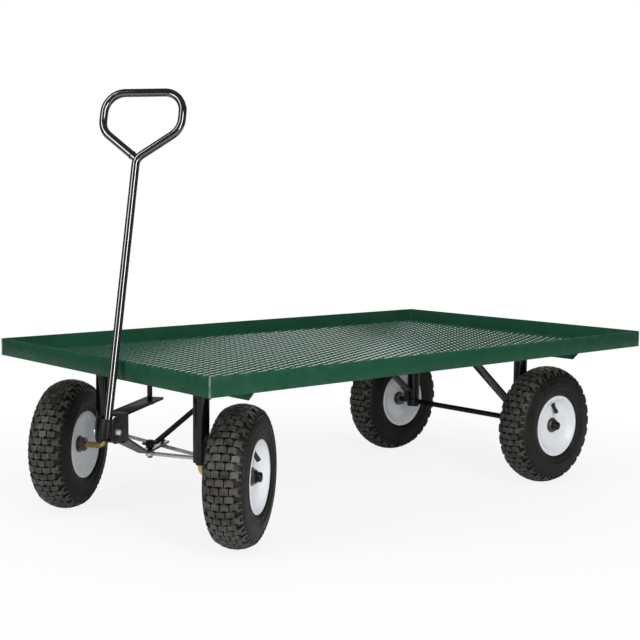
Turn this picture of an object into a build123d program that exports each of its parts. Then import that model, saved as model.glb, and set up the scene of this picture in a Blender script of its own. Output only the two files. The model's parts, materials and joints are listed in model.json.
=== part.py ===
"""Flatbed garden wagon: an angle-iron tray with a mesh floor on four pneumatic wheels.

Frame: X forward, Y to the wagon's left, Z up, millimetres, origin on the floor under the tray's centre.
The steering is stored on its left lock, with the pull handle leaning back towards the tray.
"""

import math
import os

from build123d import *

# Tray
TRAY_LENGTH = 1524.0
TRAY_WIDTH = 914.4
TRAY_TOP = 430.0
RAIL_LEG = 44.45
RAIL_WALL = 3.2
MESH_THICKNESS = 3.0
MESH_CLEARANCE = 1.0
MESH_COLUMNS = 12
MESH_ROWS = 9
MESH_OPEN_SHARE = 0.78

# Members under the tray
CROSS_WIDTH = 51.0
CROSS_HEIGHT = 22.0
CROSS_WALL = 3.2
CROSS_INSET = 17.2
STRAP_X = 285.0
STRAP_WIDTH = 38.1
STRAP_THICKNESS = 6.35

# Wheels
TYRE_DIAMETER = 330.2
TYRE_WIDTH = 102.0
TREAD_WIDTH = 72.0
TREAD_DROP = 10.0
BEAD_RADIUS = 81.0
BEAD_HALF_WIDTH = 39.0
RIM_RADIUS = 86.0
RIM_LIP_HALF_WIDTH = 46.0
RIM_LIP_WALL = 3.0
RIM_DISC_RADIUS = 64.0
RIM_DISC_HALF_WIDTH = 27.0
HUB_RADIUS = 17.5
HUB_INNER_END = 44.0
HUB_OUTER_END = 36.0

# Running gear
AXLE_DIAMETER = 15.875
AXLE_TAIL = 8.0
REAR_AXLE_X = -530.0
REAR_WHEEL_Y = 307.0
LEG_DIAMETER = 38.1
LEG_WALL = 3.2
REAR_LEG_Y = 215.0
REAR_LEG_TAIL = 15.0
FRONT_LEG_BOTTOM = 192.0
KINGPIN_X = 606.0
KINGPIN_Y = 212.0
KINGPIN_TOP_GAP = 12.0
SPINDLE_REACH = 95.0
SPINDLE_BEND = 16.0

# Steering
STEER_LOCK = 35.5
ARM_LENGTH = 86.0
ARM_WIDTH = 26.0
ARM_THICKNESS = 6.0
TIE_ROD_DIAMETER = 9.5
TIE_ROD_GAP = 0.6
TIE_PIN_DIAMETER = 8.0
TIE_PIN_TAIL = 4.0
PIVOT_ROD_DIAMETER = 12.7
TONGUE_THICKNESS = 6.0
TONGUE_BAR_TOP = 312.0
TONGUE_BAR_TAIL = 36.0
TONGUE_PLATE_BOTTOM = 186.0
TONGUE_PLATE_NECK = 26.0
TONGUE_PLATE_KNEE = 40.0
HEAD_SETBACK = 69.0
HEAD_WEB_LENGTH = 32.0
HEAD_WALL = 5.0
EAR_BOTTOM = 252.0
EAR_NOSE_RADIUS = 18.0
HANDLE_PIVOT_REACH = 258.0
HANDLE_PIVOT_Z = 278.0
PIVOT_BOLT_TAIL = 9.0

# Pull handle
HANDLE_LEAN = 16.8
HANDLE_TUBE_DIAMETER = 19.05
HANDLE_NECK = 634.0
GRIP_HEIGHT = 161.0
GRIP_RIGHT = 102.0
GRIP_LEFT = 92.0
GRIP_ARM_RISE = 70.0
GRIP_BEND = 48.0
NECK_BEND = 28.0
YOKE_WIDTH = 32.0
YOKE_DEPTH = 33.0
YOKE_WALL = 3.0
YOKE_TOP = 26.0
YOKE_FOOT = 21.0
YOKE_FOOT_RADIUS = 16.0
YOKE_EDGE_RADIUS = 4.5
YOKE_TUBE_GAP = 10.0

# Braces
BRACE_THICKNESS = 5.0
REAR_BRACE_WIDTH = 38.1
REAR_BRACE_FOOT = 28.0
FRONT_BRACE_WIDTH = 19.0
BRACE_SHOE = 25.0
FRONT_BRACE_FOOT = 17.0
LEG_TIE_DIAMETER = 9.5
LEG_TIE_LIFT = 8.0
COLLAR_RADIUS = 10.0
COLLAR_HEIGHT = 8.0
NUT_RADIUS = 10.5
NUT_HEIGHT = 14.0
THIN_NUT_HEIGHT = 6.0

# Fits
RUNNING_FIT = 0.05
LOOSE_FIT = 0.3
SIDE_PLAY = 1.0
PLATE_PLAY = 0.6

# Levels and places that follow from the sizes above
RAIL_BOTTOM = TRAY_TOP - RAIL_LEG
MESH_BOTTOM = RAIL_BOTTOM + RAIL_WALL
CROSS_INNER_TOP = RAIL_BOTTOM - CROSS_WALL
STRAP_BOTTOM = MESH_BOTTOM - STRAP_THICKNESS
AXLE_Z = TYRE_DIAMETER / 2
ARM_TOP = FRONT_LEG_BOTTOM - LOOSE_FIT
PLATE_TOP = TONGUE_PLATE_BOTTOM + TONGUE_THICKNESS
ARM_BOTTOM = ARM_TOP - ARM_THICKNESS
TIE_ROD_Z = min(ARM_BOTTOM, TONGUE_PLATE_BOTTOM) - TIE_ROD_GAP - TIE_ROD_DIAMETER / 2
COLLAR_BOTTOM = PLATE_TOP + PLATE_PLAY
BRACE_FOOT_BOTTOM = COLLAR_BOTTOM + COLLAR_HEIGHT
BRACE_FOOT_TOP = BRACE_FOOT_BOTTOM + BRACE_THICKNESS
LOWER_NUT_TOP = TONGUE_PLATE_BOTTOM - PLATE_PLAY
HEAD_START = HANDLE_PIVOT_REACH - HEAD_SETBACK
EAR_INNER = YOKE_WIDTH / 2 + SIDE_PLAY
EAR_OUTER = EAR_INNER + HEAD_WALL

SIDES = (("left", 1), ("right", -1))
ENDS = (("front", 1), ("rear", -1))


def plate(points, bottom, thickness):
    """A level plate: a closed outline in plan, drawn at its underside and raised."""
    outline = make_face(Polyline(*points, close=True))
    return Pos(0, 0, bottom) * extrude(outline, amount=thickness)


def upright_bar(points, width):
    """A closed outline in the X-Z plane, given its width across Y, half to each side."""
    outline = make_face(Polyline(*[(x, 0, z) for x, z in points], close=True))
    return extrude(outline, amount=width / 2, dir=(0, 1, 0), both=True)


def bent_strap(points, width, thickness):
    """Flat bar bent along a centre line in the X-Z plane, with mitred bends."""
    directions = []
    for (x0, z0), (x1, z1) in zip(points, points[1:]):
        run = math.hypot(x1 - x0, z1 - z0)
        directions.append(((x1 - x0) / run, (z1 - z0) / run))
    before = [directions[0]] + directions
    after = directions + [directions[-1]]
    upper, lower = [], []
    for (x, z), (ax, az), (bx, bz) in zip(points, before, after):
        nx, nz = -(az + bz), ax + bx
        reach = thickness / (1 + ax * bx + az * bz) / 2
        upper.append((x + nx * reach, z + nz * reach))
        lower.append((x - nx * reach, z - nz * reach))
    return upright_bar(upper + lower[::-1], width)


def upright_rod(x, y, bottom, top, radius):
    """A round bar standing on end."""
    return Pos(x, y, (bottom + top) / 2) * Cylinder(radius, top - bottom)


def cross_rod(x, z, y_start, y_end, radius):
    """A round bar lying across the wagon."""
    turned = Rot(90, 0, 0) * Cylinder(radius, abs(y_end - y_start))
    return Pos(x, (y_start + y_end) / 2, z) * turned


def steered(shape, y):
    """Turn a front piece about its own upright steering axis to the left lock."""
    axis = Axis((KINGPIN_X, y, 0), (0, 0, 1))
    return shape.rotate(axis, STEER_LOCK)


def tray_rail(length):
    """Angle iron along X with its upright wall outside (at -Y) and mitred ends."""
    half = length / 2
    wall_plan = [(-half, 0), (half, 0), (half - RAIL_WALL, RAIL_WALL), (-half + RAIL_WALL, RAIL_WALL)]
    toe = half - RAIL_LEG
    start = half - RAIL_WALL
    shelf_plan = [(-start, RAIL_WALL), (start, RAIL_WALL), (toe, RAIL_LEG), (-toe, RAIL_LEG)]
    wall = plate(wall_plan, RAIL_BOTTOM, RAIL_LEG)
    return wall + plate(shelf_plan, RAIL_BOTTOM, RAIL_WALL)


def deck_mesh():
    """Mesh floor as a coarse lattice: rows of diamond openings, every other row set half a cell along."""
    length = TRAY_LENGTH - 2 * (RAIL_WALL + MESH_CLEARANCE)
    width = TRAY_WIDTH - 2 * (RAIL_WALL + MESH_CLEARANCE)
    cell_x = length / MESH_COLUMNS
    cell_y = width / MESH_ROWS
    half_x = cell_x / 2 * MESH_OPEN_SHARE
    half_y = cell_y / 2 * MESH_OPEN_SHARE
    diamond = make_face(Polyline((half_x, 0), (0, half_y), (-half_x, 0), (0, -half_y), close=True))
    openings = []
    for columns, rows in ((MESH_COLUMNS, MESH_ROWS), (MESH_COLUMNS - 1, MESH_ROWS - 1)):
        for column in range(columns):
            for row in range(rows):
                x = (column - (columns - 1) / 2) * cell_x
                y = (row - (rows - 1) / 2) * cell_y
                openings.append(Pos(x, y) * diamond)
    floor = extrude(Rectangle(length, width) - openings, amount=MESH_THICKNESS)
    return Pos(0, 0, MESH_BOTTOM) * floor


def tray_pieces():
    """The four mitred rails, the mesh floor and the flat straps that carry it."""
    along = Pos(0, -TRAY_WIDTH / 2, 0) * tray_rail(TRAY_LENGTH)
    across = Rot(0, 0, 90) * (Pos(0, -TRAY_LENGTH / 2, 0) * tray_rail(TRAY_WIDTH))
    strap_y = TRAY_WIDTH - 2 * RAIL_LEG
    pieces = {
        "rail_right": along,
        "rail_left": Rot(0, 0, 180) * along,
        "rail_front": across,
        "rail_rear": Rot(0, 0, 180) * across,
        "deck_mesh": deck_mesh(),
    }
    for name, end in ENDS:
        strap = Box(STRAP_WIDTH, strap_y, STRAP_THICKNESS)
        pieces[f"deck_strap_{name}"] = Pos(end * STRAP_X, 0, STRAP_BOTTOM + STRAP_THICKNESS / 2) * strap
    return pieces


def cross_member(x):
    """Angle iron across the tray, its flange hanging down in front, with its ends cut on a slant."""
    bottom = RAIL_BOTTOM - CROSS_HEIGHT
    long = TRAY_WIDTH / 2 - CROSS_INSET
    short = long - CROSS_HEIGHT
    outline = [(-long, RAIL_BOTTOM), (long, RAIL_BOTTOM), (short, bottom), (-short, bottom)]
    side = make_face(Polyline(*[(0, y, z) for y, z in outline], close=True))
    block = extrude(side, amount=CROSS_WIDTH / 2, dir=(1, 0, 0), both=True)
    open_side = Box(CROSS_WIDTH, 2 * long, CROSS_HEIGHT)
    angle = block - Pos(-CROSS_WALL, 0, CROSS_INNER_TOP - CROSS_HEIGHT / 2) * open_side
    return Pos(x, 0, 0) * angle


def tyre():
    """Pneumatic tyre about Z: crowned tread, round shoulders and sidewalls, beads at the rim."""
    crown = TYRE_DIAMETER / 2
    shoulder = crown - TREAD_DROP
    half_tread = TREAD_WIDTH / 2
    half_width = TYRE_WIDTH / 2
    bulge = (shoulder + BEAD_RADIUS) / 2
    tread = ThreePointArc((shoulder, -half_tread), (crown, 0), (shoulder, half_tread))
    upper = ThreePointArc((shoulder, half_tread), (bulge, half_width), (BEAD_RADIUS, BEAD_HALF_WIDTH))
    bead = Line((BEAD_RADIUS, BEAD_HALF_WIDTH), (BEAD_RADIUS, -BEAD_HALF_WIDTH))
    lower = ThreePointArc((BEAD_RADIUS, -BEAD_HALF_WIDTH), (bulge, -half_width), (shoulder, -half_tread))
    section = make_face([tread, upper, bead, lower])
    return revolve(Plane.XZ * section, Axis.Z)


def rim():
    """Two pressed halves back to back, about Z: bead lips, cones and flat discs round the hub."""
    lip_in = RIM_LIP_HALF_WIDTH - RIM_LIP_WALL
    barrel = BEAD_RADIUS - LOOSE_FIT
    bore = HUB_RADIUS
    upper_half = [
        (bore, RIM_DISC_HALF_WIDTH),
        (RIM_DISC_RADIUS, RIM_DISC_HALF_WIDTH),
        (barrel - RIM_LIP_WALL, lip_in),
        (barrel, RIM_LIP_HALF_WIDTH),
        (RIM_RADIUS, RIM_LIP_HALF_WIDTH),
        (RIM_RADIUS, lip_in),
        (barrel, lip_in),
    ]
    lower_half = [(r, -z) for r, z in reversed(upper_half)]
    section = make_face(Polyline(*upper_half, *lower_half, close=True))
    return revolve(Plane.XZ * section, Axis.Z)


def hub():
    """Bearing tube about Z through both discs of the rim, bored for the axle."""
    length = HUB_INNER_END + HUB_OUTER_END
    middle = (HUB_OUTER_END - HUB_INNER_END) / 2
    tube = Cylinder(HUB_RADIUS, length) - Cylinder(AXLE_DIAMETER / 2 + RUNNING_FIT, length)
    return Pos(0, 0, middle) * tube


def wheel_pieces():
    """Tyre, rim and hub of the four wheels, outer face away from the wagon."""
    pieces = {}
    for side_name, side in SIDES:
        turn = Rot(-90 * side, 0, 0)
        for part_name, shape in (("tyre", tyre()), ("rim", rim()), ("hub", hub())):
            rear = Pos(REAR_AXLE_X, side * REAR_WHEEL_Y, AXLE_Z) * (turn * shape)
            pieces[f"{part_name}_rear_{side_name}"] = rear
            straight = Pos(KINGPIN_X, side * (KINGPIN_Y + SPINDLE_REACH), AXLE_Z) * (turn * shape)
            pieces[f"{part_name}_front_{side_name}"] = steered(straight, side * KINGPIN_Y)
    return pieces


def spindle(side):
    """L-shaped rod: its upright turns in the leg and its other end carries the wheel."""
    top = CROSS_INNER_TOP - KINGPIN_TOP_GAP
    out = SPINDLE_REACH + HUB_OUTER_END + AXLE_TAIL
    path = FilletPolyline((0, 0, top), (0, 0, AXLE_Z), (0, side * out, AXLE_Z), radius=SPINDLE_BEND)
    start = Plane(origin=path @ 0, z_dir=path % 0)
    rod = sweep(start * Circle(AXLE_DIAMETER / 2), path=path)
    return Pos(KINGPIN_X, side * KINGPIN_Y, 0) * rod


def steering_arm(side):
    """Flat lever welded round the spindle, reaching back to the tie rod."""
    arm = extrude(SlotCenterToCenter(ARM_LENGTH, ARM_WIDTH), amount=ARM_THICKNESS)
    arm = Pos(-ARM_LENGTH / 2, 0, 0) * arm
    arm -= Pos(0, 0, ARM_THICKNESS / 2) * Cylinder(AXLE_DIAMETER / 2, ARM_THICKNESS)
    pin_hole = Cylinder(TIE_PIN_DIAMETER / 2 + LOOSE_FIT, ARM_THICKNESS)
    arm -= Pos(-ARM_LENGTH, 0, ARM_THICKNESS / 2) * pin_hole
    return Pos(KINGPIN_X, side * KINGPIN_Y, ARM_BOTTOM) * arm


def leg(x, y, bottom, bore):
    """Round leg standing under a cross member."""
    outer = upright_rod(x, y, bottom, CROSS_INNER_TOP, LEG_DIAMETER / 2)
    return outer - upright_rod(x, y, bottom, CROSS_INNER_TOP, bore)


def running_gear():
    """Legs, spindles, steering arms, rear axle and the bars that stay the legs."""
    rear_leg_bottom = AXLE_Z - REAR_LEG_TAIL
    kingpin_bore = AXLE_DIAMETER / 2 + RUNNING_FIT
    axle_end = REAR_WHEEL_Y + HUB_OUTER_END + AXLE_TAIL
    axle = cross_rod(REAR_AXLE_X, AXLE_Z, -axle_end, axle_end, AXLE_DIAMETER / 2)
    pieces = {"rear_axle": axle}
    shoe_z = STRAP_BOTTOM - BRACE_THICKNESS / 2
    foot_x = REAR_AXLE_X + LEG_DIAMETER / 2 + BRACE_THICKNESS / 2
    foot_top = AXLE_Z + LEG_DIAMETER / 2 + REAR_BRACE_FOOT / 2
    strap_end = -STRAP_X + STRAP_WIDTH / 2
    rear_route = [
        (foot_x, foot_top - REAR_BRACE_FOOT),
        (foot_x, foot_top),
        (strap_end - BRACE_SHOE, shoe_z),
        (strap_end, shoe_z),
    ]
    for name, side in SIDES:
        rear = leg(REAR_AXLE_X, side * REAR_LEG_Y, rear_leg_bottom, LEG_DIAMETER / 2 - LEG_WALL)
        pieces[f"leg_rear_{name}"] = rear - axle
        pieces[f"leg_front_{name}"] = leg(KINGPIN_X, side * KINGPIN_Y, FRONT_LEG_BOTTOM, kingpin_bore)
        pieces[f"spindle_{name}"] = steered(spindle(side), side * KINGPIN_Y)
        pieces[f"steering_arm_{name}"] = steered(steering_arm(side), side * KINGPIN_Y)
        brace = bent_strap(rear_route, REAR_BRACE_WIDTH, BRACE_THICKNESS)
        pieces[f"brace_rear_{name}"] = Pos(0, side * REAR_LEG_Y, 0) * brace
        pieces[f"leg_tie_{name}"] = leg_tie(side)
    return pieces


def leg_tie(side):
    """Round bar from the nut of the lower pivot bolt up to the foot of a front leg, let into both."""
    start = Vector(KINGPIN_X, 0, LOWER_NUT_TOP - NUT_HEIGHT / 2)
    end = Vector(KINGPIN_X, side * KINGPIN_Y, FRONT_LEG_BOTTOM + LEG_TIE_LIFT)
    bar = Plane(origin=start, z_dir=end - start) * extrude(Circle(LEG_TIE_DIAMETER / 2), amount=(end - start).length)
    bar -= upright_rod(KINGPIN_X, 0, 0, TRAY_TOP, NUT_RADIUS)
    return bar - upright_rod(KINGPIN_X, side * KINGPIN_Y, 0, TRAY_TOP, LEG_DIAMETER / 2)


def steering_pivots():
    """The upright rod and bolt that the tongue turns on, and the strap that stays the bolt."""
    rod_radius = PIVOT_ROD_DIAMETER / 2
    upper_nut_top = TONGUE_BAR_TOP - TONGUE_THICKNESS - PLATE_PLAY
    rod = upright_rod(KINGPIN_X, 0, upper_nut_top - THIN_NUT_HEIGHT, CROSS_INNER_TOP, rod_radius)
    rod += upright_rod(KINGPIN_X, 0, upper_nut_top - THIN_NUT_HEIGHT, upper_nut_top, NUT_RADIUS)
    bolt_top = BRACE_FOOT_TOP + THIN_NUT_HEIGHT
    bolt = upright_rod(KINGPIN_X, 0, LOWER_NUT_TOP - NUT_HEIGHT, bolt_top, rod_radius)
    bolt += upright_rod(KINGPIN_X, 0, LOWER_NUT_TOP - NUT_HEIGHT, LOWER_NUT_TOP, NUT_RADIUS)
    bolt += upright_rod(KINGPIN_X, 0, COLLAR_BOTTOM, BRACE_FOOT_BOTTOM, COLLAR_RADIUS)
    bolt += upright_rod(KINGPIN_X, 0, BRACE_FOOT_TOP, bolt_top, COLLAR_RADIUS)
    foot_z = (BRACE_FOOT_BOTTOM + BRACE_FOOT_TOP) / 2
    shoe_z = STRAP_BOTTOM - BRACE_THICKNESS / 2
    strap_start = STRAP_X - STRAP_WIDTH / 2
    route = [
        (KINGPIN_X + FRONT_BRACE_FOOT, foot_z),
        (KINGPIN_X - FRONT_BRACE_FOOT, foot_z),
        (strap_start + BRACE_SHOE, shoe_z),
        (strap_start, shoe_z),
    ]
    brace = bent_strap(route, FRONT_BRACE_WIDTH, BRACE_THICKNESS)
    hole = upright_rod(KINGPIN_X, 0, BRACE_FOOT_BOTTOM, BRACE_FOOT_TOP, rod_radius)
    return {"upper_pivot_rod": rod, "lower_pivot_bolt": bolt, "brace_front": brace - hole}


def tongue_bar():
    """Flat bar from behind the upper pivot rod forward to the tongue's head."""
    bottom = TONGUE_BAR_TOP - TONGUE_THICKNESS
    plan = [
        (-TONGUE_BAR_TAIL, -EAR_OUTER),
        (HEAD_START, -EAR_OUTER),
        (HEAD_START, EAR_OUTER),
        (-TONGUE_BAR_TAIL, EAR_OUTER),
    ]
    hole = upright_rod(0, 0, bottom, TONGUE_BAR_TOP, PIVOT_ROD_DIAMETER / 2 + RUNNING_FIT)
    return Pos(KINGPIN_X, 0, 0) * (plate(plan, bottom, TONGUE_THICKNESS) - hole)


def tongue_head():
    """Bent plate: a short web with two ears that hold the handle's pivot bolt."""
    nose = HANDLE_PIVOT_REACH + EAR_NOSE_RADIUS
    length = nose - HEAD_START
    height = TONGUE_BAR_TOP - EAR_BOTTOM
    ear_plan = Pos(HEAD_START + length / 2, 0, EAR_BOTTOM + height / 2)
    block = ear_plan * Box(length, 2 * EAR_OUTER, height)
    nose_edges = block.edges().filter_by(Axis.Y).group_by(Axis.X)[-1]
    block = fillet(nose_edges, EAR_NOSE_RADIUS)
    web_bottom = TONGUE_BAR_TOP - TONGUE_THICKNESS
    between = 2 * EAR_INNER
    block -= ear_plan * Pos(0, 0, -TONGUE_THICKNESS) * Box(length, between, height)
    open_front = HEAD_START + HEAD_WEB_LENGTH
    slot = Box(length, between, 4 * TONGUE_THICKNESS)
    block -= Pos(open_front + length / 2, 0, web_bottom) * slot
    block -= cross_rod(HANDLE_PIVOT_REACH, HANDLE_PIVOT_Z, -EAR_OUTER, EAR_OUTER, PIVOT_ROD_DIAMETER / 2)
    return Pos(KINGPIN_X, 0, 0) * block


def tongue_plate():
    """Lower plate: level round the pivot bolt and back to the tie rod, then up to the head."""
    middle = TONGUE_PLATE_BOTTOM + TONGUE_THICKNESS / 2
    shoe = EAR_BOTTOM - TONGUE_THICKNESS / 2
    tail = -ARM_LENGTH - ARM_WIDTH / 2
    route = [(tail, middle), (TONGUE_PLATE_KNEE, middle), (HEAD_START, shoe), (HEAD_START + HEAD_WEB_LENGTH, shoe)]
    strap = bent_strap(route, 2 * EAR_OUTER, TONGUE_THICKNESS)
    front = HEAD_START + HEAD_WEB_LENGTH
    neck = TONGUE_PLATE_NECK / 2
    plan = [
        (tail, -neck),
        (TONGUE_PLATE_KNEE, -neck),
        (HEAD_START, -EAR_OUTER),
        (front, -EAR_OUTER),
        (front, EAR_OUTER),
        (HEAD_START, EAR_OUTER),
        (TONGUE_PLATE_KNEE, neck),
        (tail, neck),
    ]
    strap &= plate(plan, 0, TRAY_TOP)
    for reach in (0, -ARM_LENGTH):
        radius = (PIVOT_ROD_DIAMETER if reach == 0 else TIE_PIN_DIAMETER) / 2 + RUNNING_FIT
        strap -= upright_rod(reach, 0, 0, TRAY_TOP, radius)
    return Pos(KINGPIN_X, 0, 0) * strap


def tie_rod():
    """Rod across the wagon with three upright pins: one in the tongue and one in each arm."""
    x = KINGPIN_X - ARM_LENGTH
    radius = TIE_ROD_DIAMETER / 2
    rod = cross_rod(x, TIE_ROD_Z, -KINGPIN_Y - radius, KINGPIN_Y + radius, radius)
    for y in (-KINGPIN_Y, 0, KINGPIN_Y):
        lever_top = PLATE_TOP if y == 0 else ARM_TOP
        rod += upright_rod(x, y, TIE_ROD_Z, lever_top + TIE_PIN_TAIL, TIE_PIN_DIAMETER / 2)
    turn = math.radians(STEER_LOCK)
    shift = ARM_LENGTH * (1 - math.cos(turn))
    return Pos(shift, -ARM_LENGTH * math.sin(turn), 0) * rod


def tongue_pieces():
    """Bar, head, lower plate and handle bolt, turned together to the left lock."""
    bolt_half = EAR_OUTER + PIVOT_BOLT_TAIL
    radius = PIVOT_ROD_DIAMETER / 2
    x = KINGPIN_X + HANDLE_PIVOT_REACH
    straight = {
        "tongue_bar": tongue_bar(),
        "tongue_head": tongue_head(),
        "tongue_plate": tongue_plate(),
        "handle_bolt": cross_rod(x, HANDLE_PIVOT_Z, -bolt_half, bolt_half, radius),
    }
    return {name: steered(shape, 0) for name, shape in straight.items()}


def handle_yoke():
    """Channel about the pivot, open to the rear, in the handle's own frame (Z along the handle)."""
    height = YOKE_TOP + YOKE_FOOT
    middle = (YOKE_TOP - YOKE_FOOT) / 2
    channel = Pos(0, 0, middle) * Box(YOKE_DEPTH, YOKE_WIDTH, height)
    front_edges = channel.edges().filter_by(Axis.Z).group_by(Axis.X)[-1]
    channel = fillet(front_edges, YOKE_EDGE_RADIUS)
    channel -= Pos(-YOKE_WALL, 0, middle) * Box(YOKE_DEPTH, YOKE_WIDTH - 2 * YOKE_WALL, height)
    side_view = Pos(0, 0, middle) * Box(YOKE_DEPTH, YOKE_WIDTH, height)
    foot_edges = side_view.edges().filter_by(Axis.Y).group_by(Axis.Z)[0]
    channel &= fillet(foot_edges, YOKE_FOOT_RADIUS)
    return channel - cross_rod(0, 0, -YOKE_WIDTH, YOKE_WIDTH, PIVOT_ROD_DIAMETER / 2 + RUNNING_FIT)


def handle_tube():
    """One tube bent into a straight shank and a D grip whose end is welded back to the neck."""
    radius = HANDLE_TUBE_DIAMETER / 2
    depth = YOKE_DEPTH / 2 - YOKE_WALL - radius
    top = HANDLE_NECK + GRIP_HEIGHT
    arm = HANDLE_NECK + GRIP_ARM_RISE
    corners = [
        (depth, 0, YOKE_TUBE_GAP),
        (depth, 0, HANDLE_NECK),
        (depth, GRIP_RIGHT, arm),
        (depth, GRIP_RIGHT, top),
        (depth, -GRIP_LEFT, top),
        (depth, -GRIP_LEFT, arm),
        (depth, -GRIP_LEFT / 2, (arm + HANDLE_NECK) / 2),
    ]
    bends = [NECK_BEND, GRIP_BEND, GRIP_BEND, GRIP_BEND, GRIP_BEND]
    path = FilletPolyline(*corners, radius=bends)
    start = Plane(origin=path @ 0, z_dir=path % 0)
    tube = sweep(start * Circle(radius), path=path)
    end = Vector(corners[-1])
    weld = Vector(depth, 0, HANDLE_NECK)
    tail = Plane(origin=end, z_dir=weld - end) * extrude(Circle(radius), amount=(weld - end).length)
    return tube + tail


def handle_pieces():
    """Yoke and tube, leaned back about the handle bolt and turned to the left lock."""
    seat = Pos(KINGPIN_X + HANDLE_PIVOT_REACH, 0, HANDLE_PIVOT_Z) * Rot(0, -HANDLE_LEAN, 0)
    straight = {"handle_yoke": seat * handle_yoke(), "handle_tube": seat * handle_tube()}
    return {name: steered(shape, 0) for name, shape in straight.items()}


def main():
    """Build every piece and write one file for each."""
    pieces = {}
    pieces |= tray_pieces()
    pieces["cross_member_front"] = cross_member(KINGPIN_X)
    pieces["cross_member_rear"] = cross_member(REAR_AXLE_X)
    pieces |= running_gear()
    pieces |= steering_pivots()
    pieces |= tongue_pieces()
    pieces["tie_rod"] = tie_rod()
    pieces |= handle_pieces()
    pieces |= wheel_pieces()
    os.makedirs("parts", exist_ok=True)
    for name, shape in pieces.items():
        export_step(shape, f"parts/{name}.step")


main()
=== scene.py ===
"""Finishes, tread, mesh floor and fittings of a flatbed garden wagon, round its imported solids."""

import json
import math

import bmesh
import bpy
from mathutils import Matrix, Vector


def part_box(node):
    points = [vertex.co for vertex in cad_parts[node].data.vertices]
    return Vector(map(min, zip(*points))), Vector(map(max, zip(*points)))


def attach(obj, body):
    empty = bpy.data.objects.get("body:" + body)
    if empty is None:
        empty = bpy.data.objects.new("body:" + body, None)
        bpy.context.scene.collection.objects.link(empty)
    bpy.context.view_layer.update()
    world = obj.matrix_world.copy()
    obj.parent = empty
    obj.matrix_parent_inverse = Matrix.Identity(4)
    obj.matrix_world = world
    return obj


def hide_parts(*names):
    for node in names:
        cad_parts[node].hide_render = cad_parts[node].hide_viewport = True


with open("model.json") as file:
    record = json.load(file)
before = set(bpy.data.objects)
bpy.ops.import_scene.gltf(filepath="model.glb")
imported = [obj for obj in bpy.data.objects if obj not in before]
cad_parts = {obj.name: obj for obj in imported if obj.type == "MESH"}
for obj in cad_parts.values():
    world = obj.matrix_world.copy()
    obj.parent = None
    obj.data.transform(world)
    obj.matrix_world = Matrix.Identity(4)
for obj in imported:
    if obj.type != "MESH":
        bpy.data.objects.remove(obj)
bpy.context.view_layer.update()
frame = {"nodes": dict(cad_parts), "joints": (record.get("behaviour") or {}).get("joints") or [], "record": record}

bl_info = {
    "name": "Flatbed Garden Wagon",
    "version": (1, 0, 0),
    "blender": (4, 5, 0),
    "location": "View3D > Sidebar > Wagon",
    "description": "Builds the finishes, tread, mesh floor and fittings of a flatbed garden wagon",
    "category": "Object",
}

MM = 0.001
NODES = frame["nodes"]
RECORD = frame["record"]
BODY_OF = {
    node: body
    for body, members in RECORD["behaviour"]["bodies"].items()
    for node in members
}
SLOT_OF = {part["node"]: part["material_slot"] for part in RECORD["subparts"]}
JOINTS = {joint["child"]: joint for joint in frame["joints"]}
WHEELS = ("front_left", "front_right", "rear_left", "rear_right")
LEGS = tuple("leg_" + corner for corner in WHEELS)
FINISH_OF = {
    "green_paint": "Green Enamel",
    "mesh_green": "Mesh Enamel",
    "black_paint": "Black Powder Coat",
    "zinc": "Bright Zinc",
    "yellow_zinc": "Yellow Zinc",
    "tyre_rubber": "Tyre Rubber",
    "white_enamel": "White Enamel",
    "hub_steel": "Dark Steel",
}
FULL_TURN = 2 * math.pi
WELD = 1e-6
LOOSE_WELD = 1e-5


# Properties


class WagonSizes(bpy.types.PropertyGroup):
    """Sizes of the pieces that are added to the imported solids."""

    mesh_long: bpy.props.FloatProperty(
        name="Mesh length", description="Diamond pitch along the wagon",
        default=0.0515, unit="LENGTH")
    mesh_short: bpy.props.FloatProperty(
        name="Mesh width", description="Diamond pitch across the wagon",
        default=0.0232, unit="LENGTH")
    strand_width: bpy.props.FloatProperty(
        name="Strand width", description="Width of a strand of the mesh, in plan",
        default=0.0044, unit="LENGTH")
    strand_thickness: bpy.props.FloatProperty(
        name="Strand thickness", description="Thickness of the mesh's sheet",
        default=0.0022, unit="LENGTH")
    strand_tilt: bpy.props.FloatProperty(
        name="Strand tilt", description="How far a strand's edges lean out of level",
        default=0.0015, unit="LENGTH")
    bond_length: bpy.props.FloatProperty(
        name="Bond length", description="Length of the flat where strands meet",
        default=0.0100, unit="LENGTH")
    rail_edge: bpy.props.FloatProperty(
        name="Rail edge", description="Rounding of the angle iron's edges",
        default=0.0015, unit="LENGTH")
    plate_edge: bpy.props.FloatProperty(
        name="Plate edge", description="Rounding of sheared plate edges",
        default=0.0006, unit="LENGTH")
    tread_depth: bpy.props.FloatProperty(
        name="Tread depth", description="Depth of the grooves in the tread",
        default=0.0050, unit="LENGTH")
    tread_rows: bpy.props.IntProperty(
        name="Tread rows", description="Pairs of block rows round the tyre",
        default=28, min=8)
    block_pitch: bpy.props.FloatProperty(
        name="Block pitch", description="Block spacing across the tread",
        default=0.0214, unit="LENGTH")
    handle_lean: bpy.props.FloatProperty(
        name="Handle lean", description="How far the stored handle leans back",
        default=math.radians(16.8), unit="ROTATION")
    handle_neck: bpy.props.FloatProperty(
        name="Handle neck", description="From the handle's bolt to the neck of its grip",
        default=0.634, unit="LENGTH")


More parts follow.
